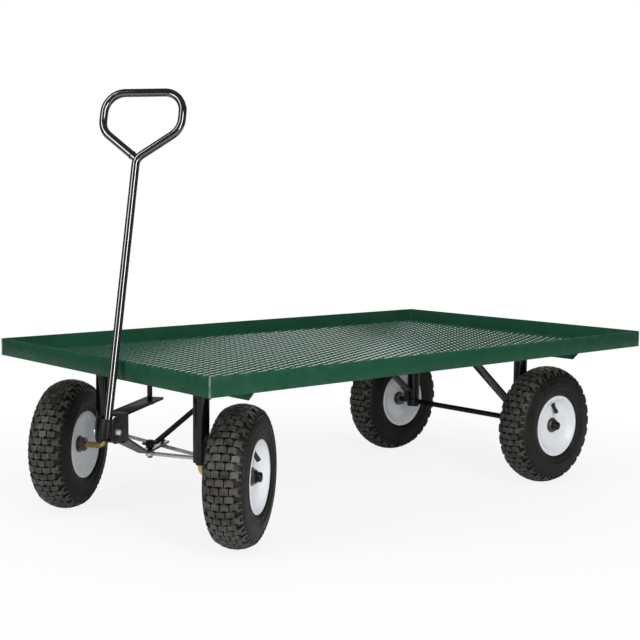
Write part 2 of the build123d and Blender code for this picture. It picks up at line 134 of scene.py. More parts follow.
class WagonColours(bpy.types.PropertyGroup):
    """Colours of the finishes."""

    green: bpy.props.FloatVectorProperty(
        name="Green enamel", description="Paint of the tray",
        subtype="COLOR", default=(0.015, 0.078, 0.042))
    green_deep: bpy.props.FloatVectorProperty(
        name="Deep green", description="Thicker runs of the tray's paint",
        subtype="COLOR", default=(0.012, 0.064, 0.034))
    mesh_green: bpy.props.FloatVectorProperty(
        name="Mesh green", description="Paint of the mesh",
        subtype="COLOR", default=(0.014, 0.070, 0.047))
    black: bpy.props.FloatVectorProperty(
        name="Black powder coat", description="Finish of the running gear",
        subtype="COLOR", default=(0.005, 0.005, 0.005))
    white: bpy.props.FloatVectorProperty(
        name="White enamel", description="Finish of the rims",
        subtype="COLOR", default=(0.86, 0.885, 0.915))
    rubber: bpy.props.FloatVectorProperty(
        name="Rubber", description="Clean rubber of the sidewalls",
        subtype="COLOR", default=(0.008, 0.0078, 0.0075))
    rubber_dry: bpy.props.FloatVectorProperty(
        name="Dry rubber", description="Bloom on the sidewalls",
        subtype="COLOR", default=(0.018, 0.017, 0.015))
    tread: bpy.props.FloatVectorProperty(
        name="Tread", description="Clean rubber of the tread blocks",
        subtype="COLOR", default=(0.018, 0.0172, 0.0158))
    tread_dry: bpy.props.FloatVectorProperty(
        name="Dry tread", description="Brownish bloom on the tread blocks",
        subtype="COLOR", default=(0.082, 0.075, 0.064))
    zinc: bpy.props.FloatVectorProperty(
        name="Zinc", description="Bright plated fasteners",
        subtype="COLOR", default=(0.80, 0.82, 0.85))
    yellow_zinc: bpy.props.FloatVectorProperty(
        name="Yellow zinc", description="Plating of the front spindles",
        subtype="COLOR", default=(0.58, 0.38, 0.12))
    dark_steel: bpy.props.FloatVectorProperty(
        name="Dark steel", description="Hubs",
        subtype="COLOR", default=(0.20, 0.19, 0.17))


class WagonStage(bpy.types.PropertyGroup):
    """Camera and light."""

    lens: bpy.props.FloatProperty(
        name="Lens", description="Focal length on a 36 mm sensor",
        default=67.92, subtype="DISTANCE_CAMERA")
    camera_place: bpy.props.FloatVectorProperty(
        name="Camera", description="Where the camera stands",
        subtype="TRANSLATION", unit="LENGTH",
        default=(2.2118, 2.4390, 0.7815))
    camera_yaw: bpy.props.FloatProperty(
        name="Yaw", description="Direction of view about the vertical",
        unit="ROTATION", default=math.radians(228.56))
    camera_pitch: bpy.props.FloatProperty(
        name="Pitch", description="Tilt of the view below level",
        unit="ROTATION", default=math.radians(5.42))
    camera_roll: bpy.props.FloatProperty(
        name="Roll", description="Turn of the view about itself",
        unit="ROTATION", default=math.radians(0.48))
    room_level: bpy.props.FloatProperty(
        name="Room", description="Light from the dim room behind the camera",
        default=0.10, min=0.0)
    backdrop_level: bpy.props.FloatProperty(
        name="Backdrop", description="Light from the white backdrop behind the wagon",
        default=1.0, min=0.0)
    key_power: bpy.props.FloatProperty(
        name="Key light", description="Overhead soft box",
        default=48.0, min=0.0, unit="POWER")
    front_power: bpy.props.FloatProperty(
        name="Front light", description="Tall soft box ahead of the wagon",
        default=44.0, min=0.0, unit="POWER")
    side_power: bpy.props.FloatProperty(
        name="Side light", description="Tall soft box beside the wagon",
        default=96.0, min=0.0, unit="POWER")
    rear_power: bpy.props.FloatProperty(
        name="Rear light", description="Soft box behind the wagon that glints on the mesh",
        default=18.0, min=0.0, unit="POWER")


def sizes():
    return bpy.context.scene.wagon_sizes


def colours():
    return bpy.context.scene.wagon_colours


# Modelling by hand, in code


def object_mode():
    if bpy.context.mode != "OBJECT":
        bpy.ops.object.mode_set(mode="OBJECT")


def only(obj):
    """Make one object the only one that is selected."""
    object_mode()
    bpy.ops.object.select_all(action="DESELECT")
    obj.select_set(True)
    bpy.context.view_layer.objects.active = obj


def begin():
    """Nothing selected, ready for a new primitive."""
    object_mode()
    bpy.ops.object.select_all(action="DESELECT")


def edit(obj):
    only(obj)
    bpy.ops.object.mode_set(mode="EDIT")
    bpy.ops.mesh.select_mode(type="VERT")
    bpy.ops.mesh.select_all(action="SELECT")


def pick(test):
    """In edit mode, select the vertices whose place passes a test."""
    data = bpy.context.edit_object.data
    bpy.ops.mesh.select_mode(type="VERT")
    bpy.ops.mesh.select_all(action="DESELECT")
    mesh = bmesh.from_edit_mesh(data)
    for vertex in mesh.verts:
        vertex.select_set(bool(test(vertex.co)))
    mesh.select_flush_mode()
    bmesh.update_edit_mesh(data)


def tidy(obj, distance=WELD):
    """Merge doubles, turn the faces outward and go back to object mode."""
    edit(obj)
    bpy.ops.mesh.remove_doubles(threshold=distance)
    bpy.ops.mesh.select_all(action="SELECT")
    bpy.ops.mesh.normals_make_consistent(inside=False)
    object_mode()
    return obj


def bake_place(obj):
    """Put an object's place into its mesh."""
    only(obj)
    bpy.ops.object.transform_apply(location=True, rotation=True, scale=True)
    return obj


def smooth(obj, degrees=35):
    only(obj)
    bpy.ops.object.shade_smooth_by_angle(angle=math.radians(degrees))
    return obj


def apply_all(obj):
    only(obj)
    for modifier in list(obj.modifiers):
        bpy.ops.object.modifier_apply(modifier=modifier.name)
    return obj


def copy_of(obj, name):
    """A copy with a mesh of its own."""
    only(obj)
    bpy.ops.object.duplicate()
    twin = bpy.context.active_object
    twin.name = name
    return twin


def joined(objs, name):
    begin()
    for obj in objs:
        obj.select_set(True)
    bpy.context.view_layer.objects.active = objs[0]
    bpy.ops.object.join()
    objs[0].name = name
    return objs[0]


def discard(obj):
    only(obj)
    bpy.ops.object.delete()


def drawn(points, fill="NOTHING"):
    """An outline through points, left in edit mode."""
    begin()
    bpy.ops.mesh.primitive_circle_add(vertices=len(points), radius=MM, fill_type=fill)
    obj = bpy.context.active_object
    edit(obj)
    mesh = bmesh.from_edit_mesh(obj.data)
    mesh.verts.ensure_lookup_table()
    for vertex, point in zip(mesh.verts, points):
        vertex.co = point
    bmesh.update_edit_mesh(obj.data)
    return obj


def lathe(name, profile, steps):
    """Turn a profile of (radius, height) points about Z."""
    begin()
    bpy.ops.mesh.primitive_plane_add(size=MM)
    obj = bpy.context.active_object
    obj.name = name
    edit(obj)
    bpy.ops.mesh.merge(type="CENTER")
    radius, height = profile[0]
    bpy.ops.transform.translate(value=(radius, 0, height))
    for next_radius, next_height in profile[1:]:
        step = (next_radius - radius, 0, next_height - height)
        bpy.ops.mesh.extrude_region_move(TRANSFORM_OT_translate={"value": step})
        radius, height = next_radius, next_height
    bpy.ops.mesh.select_all(action="SELECT")
    bpy.ops.mesh.spin(steps=steps, angle=FULL_TURN, center=(0, 0, 0), axis=(0, 0, 1))
    return tidy(obj, LOOSE_WELD)


def keep(obj, body, slot, *nodes, finish=None):
    """Finish a piece: its own finish or its slot's, its body and the nodes it stands for."""
    obj.data.materials.clear()
    obj.data.materials.append(bpy.data.materials[finish or FINISH_OF[slot]])
    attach(obj, body)
    if nodes:
        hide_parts(*nodes)


def bevel(obj, width, segments=2, limit=30):
    """Round the edges that are sharper than a limit in degrees."""
    rounding = obj.modifiers.new("Rounded edges", "BEVEL")
    rounding.width = width
    rounding.segments = segments
    rounding.limit_method = "ANGLE"
    rounding.angle_limit = math.radians(limit)
    return apply_all(obj)


def rounded_node(node, width=0.0, segments=2):
    """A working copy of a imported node, welded, with its sharp edges rounded."""
    facet_angle, sharp_angle = 0.5, 40
    source = NODES[node]
    twin = source.copy()
    twin.data = source.data.copy()
    twin.parent = None
    twin.matrix_world = Matrix.Identity(4)
    for key in list(twin.keys()):
        del twin[key]
    twin.name = node + "_rounded"
    bpy.context.scene.collection.objects.link(twin)
    only(twin)
    bpy.ops.mesh.customdata_custom_splitnormals_clear()
    edit(twin)
    bpy.ops.mesh.remove_doubles(threshold=WELD)
    bpy.ops.mesh.dissolve_limited(angle_limit=math.radians(facet_angle))
    object_mode()
    if width:
        bevel(twin, width, segments, sharp_angle)
    return smooth(twin, sharp_angle)


def hex_nut(name, across, height):
    """A six-sided nut standing on z=0, its corners turned down at both faces."""
    corner_share, sharp_angle = 0.06, 30
    begin()
    bpy.ops.mesh.primitive_cylinder_add(
        vertices=6, radius=across / math.sqrt(3), depth=height, location=(0, 0, height / 2))
    nut = bpy.context.active_object
    nut.name = name
    bake_place(nut)
    return smooth(tidy(bevel(nut, across * corner_share)), sharp_angle)


def bead_ring(name, radius, thickness, ripples):
    """A ring of weld about Z with the ripples of its run."""
    crest, rise = 0.3, 0.22
    begin()
    bpy.ops.mesh.primitive_torus_add(
        major_segments=ripples * 3, minor_segments=8,
        major_radius=radius, minor_radius=thickness)
    ring = bpy.context.active_object
    ring.name = name
    edit(ring)
    pick(lambda co: math.cos(math.atan2(co.y, co.x) * ripples) > crest)
    bpy.ops.transform.shrink_fatten(value=thickness * rise)
    return tidy(ring)


def handle_frame():
    """Matrix from the handle's own frame, Z along it and X forward, to its stored place."""
    joint = JOINTS["handle"]
    across = Vector(joint["axis"]).normalized()
    level = across.cross(Vector((0, 0, 1)))
    lean = sizes().handle_lean
    ahead = level * math.cos(lean) + Vector((0, 0, math.sin(lean)))
    turn = Matrix((ahead, across, ahead.cross(across))).transposed().to_4x4()
    return Matrix.Translation(joint["pos_m"]) @ turn


def wheel_frame(wheel):
    """Matrix from a wheel's own frame, outer face up along Z, to its place on the wagon."""
    low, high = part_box("rim_" + wheel)
    axis = Vector(JOINTS["wheel_" + wheel]["axis"]).normalized()
    centre = (low + high) / 2
    if axis.y * centre.y < 0:
        axis = -axis
    up = Vector((0, 0, 1))
    ahead = up.cross(axis).normalized()
    turn = Matrix((ahead, axis.cross(ahead), axis)).transposed().to_4x4()
    return Matrix.Translation(centre) @ turn


def on_wheel(pattern, wheel):
    """A copy of a wheel's piece, set on one of the four wheels."""
    piece = copy_of(pattern, f"{pattern.name}_{wheel}")
    piece.matrix_world = wheel_frame(wheel)
    return bake_place(piece)


# Finishes


def shader_group(name, inputs, outputs):
    """An empty shader group with named inputs and outputs."""
    group = bpy.data.node_groups.new(name, "ShaderNodeTree")
    for socket, kind, default in inputs:
        made = group.interface.new_socket(socket, in_out="INPUT", socket_type=kind)
        made.default_value = default
    for socket, kind in outputs:
        group.interface.new_socket(socket, in_out="OUTPUT", socket_type=kind)
    source = group.nodes.new("NodeGroupInput")
    sink = group.nodes.new("NodeGroupOutput")
    return group, source, sink


def adjust(node, **values):
    """Set a node's sockets and settings; an underscore stands for a space in a socket's name."""
    for key, value in values.items():
        socket = key.replace("_", " ")
        if socket in node.inputs:
            node.inputs[socket].default_value = value
        else:
            setattr(node, key, value)
    return node


def put(tree, kind, **values):
    return adjust(tree.nodes.new(kind), **values)


def wire(tree, start, end):
    tree.links.new(start, end)


def combine(tree, operation, first, second, **values):
    """One math node fed by two sockets."""
    node = put(tree, "ShaderNodeMath", operation=operation, **values)
    wire(tree, first, node.inputs[0])
    wire(tree, second, node.inputs[1])
    return node.outputs["Value"]


def skin_group():
    """Fine peel, broad mottle and thin scuffs of a sprayed or powder-coated skin."""
    group, source, sink = shader_group(
        "Paint Skin",
        [("Peel Scale", "NodeSocketFloat", 400.0), ("Mottle Scale", "NodeSocketFloat", 9.0)],
        [(name, "NodeSocketFloat") for name in ("Peel", "Mottle", "Scuff")],
    )
    place = put(group, "ShaderNodeTexCoord")
    peel = put(group, "ShaderNodeTexNoise", Detail=2.0)
    mottle = put(group, "ShaderNodeTexNoise", Detail=5.0, Roughness=0.6)
    streak = put(
        group, "ShaderNodeTexNoise", Scale=60.0, Detail=4.0, Roughness=0.7, Distortion=0.6)
    scuff = spread(group, streak.outputs["Fac"], 0, 1, start=0.62, end=0.72)
    for node in (peel, mottle, streak):
        wire(group, place.outputs["Object"], node.inputs["Vector"])
    wire(group, source.outputs["Peel Scale"], peel.inputs["Scale"])
    wire(group, source.outputs["Mottle Scale"], mottle.inputs["Scale"])
    wire(group, peel.outputs["Fac"], sink.inputs["Peel"])
    wire(group, mottle.outputs["Fac"], sink.inputs["Mottle"])
    wire(group, scuff, sink.inputs["Scuff"])


def rub_group():
    """Where corners are rubbed: how far the rounded normal leaves the face's own."""
    group, source, sink = shader_group(
        "Edge Rub",
        [("Radius", "NodeSocketFloat", 0.002), ("Amount", "NodeSocketFloat", 1.0)],
        [("Rub", "NodeSocketFloat")],
    )
    rounded = put(group, "ShaderNodeBevel", samples=4)
    face = put(group, "ShaderNodeNewGeometry")
    dot = put(group, "ShaderNodeVectorMath", operation="DOT_PRODUCT")
    corner = spread(group, dot.outputs["Value"], 0, 1, start=0.995, end=0.80)
    place = put(group, "ShaderNodeTexCoord")
    patch = put(group, "ShaderNodeTexNoise", Scale=38.0, Detail=3.0)
    broken = spread(group, patch.outputs["Fac"], 0, 1, start=0.40, end=0.66)
    both = combine(group, "MULTIPLY", corner, broken)
    scaled = combine(group, "MULTIPLY", both, source.outputs["Amount"], use_clamp=True)
    wire(group, source.outputs["Radius"], rounded.inputs["Radius"])
    wire(group, rounded.outputs["Normal"], dot.inputs[0])
    wire(group, face.outputs["True Normal"], dot.inputs[1])
    wire(group, place.outputs["Object"], patch.inputs["Vector"])
    wire(group, scaled, sink.inputs["Rub"])


def new_material(name):
    material = bpy.data.materials.new(name)
    material.use_nodes = True
    tree = material.node_tree
    return material, tree, tree.nodes["Principled BSDF"]


def place_group(tree, name, **values):
    return put(tree, "ShaderNodeGroup", node_tree=bpy.data.node_groups[name], **values)


def blend_colour(tree, factor, first, second):
    """Mix two colours, each a socket or a plain colour, by a factor socket."""
    mix = put(tree, "ShaderNodeMix", data_type="RGBA")
    wire(tree, factor, mix.inputs["Factor"])
    for socket, value in ((mix.inputs[6], first), (mix.inputs[7], second)):
        if isinstance(value, bpy.types.NodeSocket):
            wire(tree, value, socket)
        else:
            socket.default_value = (*value, 1.0)
    return mix.outputs[2]


def spread(tree, value, low, high, start=0.0, end=1.0):
    """Map a varying value from start..end to low..high."""
    node = put(
        tree, "ShaderNodeMapRange", From_Min=start, From_Max=end, To_Min=low, To_Max=high)
    wire(tree, value, node.inputs["Value"])
    return node.outputs["Result"]


def bump(tree, shader, height, strength, distance):
    node = put(tree, "ShaderNodeBump", Strength=strength, Distance=distance)
    wire(tree, height, node.inputs["Height"])
    wire(tree, node.outputs["Normal"], shader.inputs["Normal"])


def painted(name, thin, thick, rubbed, rough, peel, rub, gloss, dimple, scuff=0.16):
    """Gloss paint: mottled colour, rubbed edges, scuffed gloss and orange peel."""
    _, tree, shader = new_material(name)
    adjust(shader, Specular_IOR_Level=gloss)
    skin = place_group(tree, "Paint Skin", Peel_Scale=peel)
    edge = place_group(tree, "Edge Rub", Radius=0.0016, Amount=rub)
    cloud = spread(tree, skin.outputs["Mottle"], 0, 1, start=0.3, end=0.7)
    body = blend_colour(tree, cloud, thin, thick)
    worn = blend_colour(tree, edge.outputs["Rub"], body, rubbed)
    dulled = spread(tree, skin.outputs["Scuff"], rough, rough + scuff)
    wire(tree, worn, shader.inputs["Base Color"])
    wire(tree, dulled, shader.inputs["Roughness"])
    bump(tree, shader, skin.outputs["Peel"], strength=dimple, distance=0.0006)
    return shader


def rubber_material(name, clean, bloom, gloss, patch):
    """Rubber: patches of bloom, painted shade in the grooves, pale edges that are part rubbed wear and part
    painted glint, and a fine moulded grain.
    """
    # Near-black colour of the painted shade in the grooves
    painted_groove_shade = (0.003, 0.003, 0.003)
    # Paler edge colour: part rubbed wear, part painted glint on the block edges
    wear_and_glint_gain = 1.7
    _, tree, shader = new_material(name)
    skin = place_group(tree, "Paint Skin", Peel_Scale=900.0, Mottle_Scale=patch)
    adjust(shader, Specular_IOR_Level=gloss)
    dry = spread(tree, skin.outputs["Mottle"], 0, 1, start=0.38, end=0.66)
    dulled = spread(tree, skin.outputs["Mottle"], 0.34, 0.54, start=0.3, end=0.7)
    occlusion_shade = put(tree, "ShaderNodeAmbientOcclusion", samples=8, Distance=0.008)
    # Edge mask for the paler edges: part rubbed wear, part painted glint
    edge = place_group(tree, "Edge Rub", Radius=0.0014, Amount=0.8)
    rubbed = [min(1.0, wear_and_glint_gain * channel) for channel in bloom]
    patches = blend_colour(tree, dry, clean, bloom)
    face = blend_colour(tree, edge.outputs["Rub"], patches, rubbed)
    # Painted shade: ambient occlusion blends the colour towards near black in the grooves and recesses
    unshaded_share = spread(tree, occlusion_shade.outputs["AO"], 0, 1, start=0.35, end=0.95)
    wire(tree, blend_colour(tree, unshaded_share, painted_groove_shade, face), shader.inputs["Base Color"])
    wire(tree, dulled, shader.inputs["Roughness"])
    bump(tree, shader, skin.outputs["Peel"], strength=0.25, distance=0.0006)


def plated_material(name, colour, warm, rough, metal=1.0):
    """Plated steel: clouded tint, scuffed gloss and a fine grain."""
    scuff = 0.18
    _, tree, shader = new_material(name)
    adjust(shader, Metallic=metal)
    skin = place_group(tree, "Paint Skin", Peel_Scale=700.0, Mottle_Scale=45.0)
    cloud = spread(tree, skin.outputs["Mottle"], 0, 1, start=0.35, end=0.65)
    dulled = spread(tree, skin.outputs["Scuff"], rough, rough + scuff)
    wire(tree, blend_colour(tree, cloud, colour, warm), shader.inputs["Base Color"])
    wire(tree, dulled, shader.inputs["Roughness"])
    bump(tree, shader, skin.outputs["Peel"], strength=0.12, distance=0.0004)


class WAGON_OT_finishes(bpy.types.Operator):
    """Make the paints, plating and rubber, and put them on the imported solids."""

    bl_idname = "wagon.finishes"
    bl_label = "Finishes"

    def execute(self, context):
        tint = colours()
        skin_group()
        rub_group()
        painted(
            "Green Enamel", tint.green, tint.green_deep, (0.16, 0.30, 0.24),
            rough=0.24, peel=420.0, rub=0.45, gloss=0.08, dimple=0.04)
        # Paler green for the corner beads: part rubbed wear, part painted highlight
        painted(
            "Rubbed and Highlit Enamel", tint.green, (0.09, 0.19, 0.14), (0.30, 0.42, 0.36),
            rough=0.18, peel=420.0, rub=0.8, gloss=0.50, dimple=0.05)
        strands = painted(
            "Mesh Enamel", tint.mesh_green, tint.green_deep, (0.10, 0.19, 0.15),
            rough=0.16, peel=500.0, rub=0.5, gloss=0.35, dimple=0.02)
        adjust(strands, Coat_Weight=0.3, Coat_Roughness=0.12)
        painted(
            "Black Powder Coat", tint.black, (0.007, 0.007, 0.007), (0.030, 0.029, 0.028),
            rough=0.12, peel=520.0, rub=0.3, gloss=0.30, dimple=0.02)
        painted(
            "Satin Black", tint.black, (0.008, 0.008, 0.008), (0.040, 0.039, 0.038),
            rough=0.42, peel=520.0, rub=0.3, gloss=0.25, dimple=0.05)
        tube = painted(
            "Gloss Black", tint.black, (0.006, 0.006, 0.006), (0.020, 0.020, 0.020),
            rough=0.08, peel=520.0, rub=0.2, gloss=0.50, dimple=0.001, scuff=0.02)
        adjust(tube, Coat_Weight=1.0, Coat_Roughness=0.06, Coat_IOR=1.9)
        painted(
            "White Enamel", tint.white, (0.82, 0.845, 0.875), (0.88, 0.90, 0.92),
            rough=0.28, peel=300.0, rub=0.2, gloss=0.45, dimple=0.03)
        rubber_material("Tyre Rubber", tint.rubber, tint.rubber_dry, gloss=0.22, patch=22.0)
        rubber_material("Tread Rubber", tint.tread, tint.tread_dry, gloss=0.45, patch=48.0)
        plated_material("Bright Zinc", tint.zinc, (0.60, 0.62, 0.66), rough=0.30, metal=0.6)
        plated_material("Yellow Zinc", tint.yellow_zinc, (0.60, 0.50, 0.20), rough=0.28)
        plated_material("Dark Steel", tint.dark_steel, (0.085, 0.078, 0.070), rough=0.30)
        for node, obj in NODES.items():
            finish = bpy.data.materials[FINISH_OF[SLOT_OF[node]]]
            if not obj.material_slots:
                raise RuntimeError(f"{node} has no material slot")
            for slot in obj.material_slots:
                slot.material = finish
        return {"FINISHED"}


# Stage


class WAGON_OT_stage(bpy.types.Operator):
    """Floor, soft light and the camera."""

    bl_idname = "wagon.stage"
    bl_label = "Stage"

    floor_size = 40.0
    floor_grey = (0.92, 0.92, 0.92, 1.0)
    near_glow = 0.86
    shadow_reach = (0.7, 1.6)
    # Cosines of the angle from the camera's axis where the backdrop begins and is full
    backdrop_edge = (0.88, 0.97)

    def execute(self, context):
        scene = context.scene
        stage = scene.wagon_stage
        scene.view_settings.view_transform = "Standard"
        self.floor()
        self.surround(scene, stage)
        lamps = (
            ("Overhead Box", (0.9, 0.9, 3.4), (0.0, 0.0, 0.3), (3.4, 3.4), stage.key_power),
            ("Front Box", (3.4, -0.2, 1.9), (0.7, 0.0, 0.9), (0.75, 2.6), stage.front_power),
            ("Side Box", (1.2, 3.7, 1.9), (0.1, 0.4, 0.9), (0.75, 2.6), stage.side_power),
            ("Rear Box", (-3.4, -1.7, 2.85), (0.0, 0.0, 0.4), (1.2, 1.9), stage.rear_power),
        )
        for name, place, aim, size, power in lamps:
            self.lamp(name, place, aim, size, power)
        bpy.data.objects["Overhead Box"].visible_glossy = False
        self.camera(scene, stage)
        return {"FINISHED"}

    def floor(self):
        """A pale floor that keeps its shadow near the wagon and fades to white far off."""
        begin()
        bpy.ops.mesh.primitive_grid_add(
            x_subdivisions=4, y_subdivisions=4, size=self.floor_size)
        floor = bpy.context.active_object
        floor.name = "studio_floor"
        material, tree, shader = new_material("Studio Floor")
        adjust(shader, Base_Color=self.floor_grey, Roughness=0.9)
        glow = put(tree, "ShaderNodeEmission", Strength=1.0)
        path = tree.nodes.new("ShaderNodeLightPath")
        place = tree.nodes.new("ShaderNodeTexCoord")
        away = put(tree, "ShaderNodeVectorMath", operation="LENGTH")
        wire(tree, place.outputs["Object"], away.inputs[0])
        fade = spread(tree, away.outputs["Value"], self.near_glow, 1.0, *self.shadow_reach)
        share = combine(tree, "MULTIPLY", path.outputs["Is Camera Ray"], fade)
        mix = tree.nodes.new("ShaderNodeMixShader")
        wire(tree, share, mix.inputs["Fac"])
        wire(tree, shader.outputs["BSDF"], mix.inputs[1])
        wire(tree, glow.outputs["Emission"], mix.inputs[2])
        output = tree.nodes["Material Output"]
        wire(tree, mix.outputs["Shader"], output.inputs["Surface"])
        floor.data.materials.append(material)

    def surround(self, scene, stage):
        """White to the camera; to the wagon, a white backdrop behind it and a dim room ahead."""
        world = bpy.data.worlds.new("Studio Surround")
        world.use_nodes = True
        tree = world.node_tree
        background = adjust(tree.nodes["Background"], Color=(1.0, 1.0, 1.0, 1.0))
        path = tree.nodes.new("ShaderNodeLightPath")
        place = tree.nodes.new("ShaderNodeTexCoord")
        toward = put(tree, "ShaderNodeVectorMath", operation="DOT_PRODUCT")
        yaw = stage.camera_yaw
        toward.inputs[1].default_value = (math.cos(yaw), math.sin(yaw), 0.0)
        wire(tree, place.outputs["Generated"], toward.inputs[0])
        levels = (stage.room_level, stage.backdrop_level)
        level = spread(tree, toward.outputs["Value"], *levels, *self.backdrop_edge)
        seen, through = path.outputs["Is Camera Ray"], path.outputs["Is Transmission Ray"]
        clear = combine(tree, "MAXIMUM", seen, through)
        strength = combine(tree, "MAXIMUM", level, clear)
        wire(tree, strength, background.inputs["Strength"])
        scene.world = world

    def lamp(self, name, place, aim, size, power):
        begin()
        bpy.ops.object.light_add(type="AREA", location=place)
        lamp = bpy.context.active_object
        lamp.name = name
        lamp.data.shape = "RECTANGLE"
        lamp.data.size, lamp.data.size_y = size
        lamp.data.energy = power
        lamp.visible_camera = False
        view = Vector(aim) - Vector(place)
        lamp.rotation_euler = view.to_track_quat("-Z", "Y").to_euler()

    def camera(self, scene, stage):
        begin()
        bpy.ops.object.camera_add(location=stage.camera_place)
        camera = bpy.context.active_object
        camera.name = "Photo Camera"
        camera.data.sensor_width = 36.0
        camera.data.lens = stage.lens
        camera.data.dof.use_dof = False
        yaw, pitch, roll = stage.camera_yaw, stage.camera_pitch, stage.camera_roll
        ahead = Vector((
            math.cos(yaw) * math.cos(pitch), math.sin(yaw) * math.cos(pitch), -math.sin(pitch)))
        level = Vector((math.sin(yaw), -math.cos(yaw), 0.0))
        upright = level.cross(ahead)
        right = math.cos(roll) * level + math.sin(roll) * upright
        top = math.cos(roll) * upright - math.sin(roll) * level
        turn = Matrix((right, top, -ahead)).transposed().to_4x4()
        camera.matrix_world = Matrix.Translation(stage.camera_place) @ turn
        scene.camera = camera


# Tray


class WAGON_OT_rails(bpy.types.Operator):
    """The tray's angle-iron rails with rounded edges."""

    bl_idname = "wagon.rails"
    bl_label = "Tray rails"

    def execute(self, context):
        for end in ("front", "rear", "left", "right"):
            rail = rounded_node("rail_" + end, sizes().rail_edge)
            keep(rail, "frame", "green_paint", "rail_" + end)
        return {"FINISHED"}


class WAGON_OT_mesh_floor(bpy.types.Operator):
    """The expanded-metal floor: one diamond, copied to a cell, arrayed and cut to the tray."""

    bl_idname = "wagon.mesh_floor"
    bl_label = "Mesh floor"

    tip_share = 0.04
    spare_cells = 2

    def execute(self, context):
        size = sizes()
        long, short = size.mesh_long, size.mesh_short
        low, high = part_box("deck_mesh")
        mesh = self.cell(long, short, size)
        bpy.ops.mesh.select_all(action="SELECT")
        bpy.ops.mesh.duplicate_move(TRANSFORM_OT_translate={"value": (long / 2, short / 2, 0)})
        object_mode()
        runs = (
            ((high.x - low.x) / long, (long, 0, 0)),
            ((high.y - low.y) / short, (0, short, 0)),
        )
        for cells, step in runs:
            array = mesh.modifiers.new("Diamonds", "ARRAY")
            array.count = math.ceil(cells) + self.spare_cells
            array.use_relative_offset = False
            array.use_constant_offset = True
            array.constant_offset_displace = step
            array.use_merge_vertices = True
            array.merge_threshold = LOOSE_WELD
        apply_all(mesh)
        middle = low.z + size.strand_tilt + size.strand_thickness
        mesh.location = (low.x - long / 2, low.y - short / 2, middle)
        bake_place(mesh)
        self.cut(mesh, low, high)
        wall = mesh.modifiers.new("Sheet", "SOLIDIFY")
        wall.thickness = size.strand_thickness
        wall.offset = -1.0
        apply_all(mesh)
        mesh.name = "mesh_floor"
        keep(mesh, "frame", "mesh_green", "deck_mesh")
        return {"FINISHED"}

    def cell(self, long, short, size):
        """One diamond round its hole, whose sides are set high and low so that strands lean."""
        drop = size.strand_width / 2 / math.cos(math.atan2(short, long))
        half_bond = size.bond_length / 2
        half_hole = short / 2 - half_bond * short / long - drop
        tip_half = self.tip_share * short
        tip = (short / 2 - drop - tip_half) * long / short
        quarter = ((tip, tip_half), (half_bond, half_hole))
        upper = [*quarter, *((-x, y) for x, y in reversed(quarter))]
        outline = [*upper, *((-x, -y) for x, y in upper)]
        mesh = drawn([(x, y, math.copysign(size.strand_tilt, y)) for x, y in outline])
        bpy.ops.mesh.extrude_region_move()
        shape = bmesh.from_edit_mesh(mesh.data)
        for vertex in shape.verts:
            if vertex.select:
                at_bond = abs(vertex.co.x) < tip / 2
                x, y = (0.0, short / 2) if at_bond else (long / 2, 0.0)
                vertex.co = (
                    math.copysign(x, vertex.co.x), math.copysign(y, vertex.co.y), 0.0)
        bmesh.update_edit_mesh(mesh.data)
        bpy.ops.mesh.select_all(action="SELECT")
        bpy.ops.mesh.remove_doubles(threshold=WELD)
        bpy.ops.mesh.normals_make_consistent(inside=False)
        if sum(face.normal.z for face in bmesh.from_edit_mesh(mesh.data).faces) < 0:
            bpy.ops.mesh.flip_normals()
        return mesh

    def cut(self, mesh, low, high):
        edit(mesh)
        sides = (
            (low, (-1, 0, 0)), (low, (0, -1, 0)), (high, (1, 0, 0)), (high, (0, 1, 0)))
        for corner, normal in sides:
            bpy.ops.mesh.select_all(action="SELECT")
            bpy.ops.mesh.bisect(plane_co=corner, plane_no=normal, clear_outer=True)
        object_mode()


# Wheels


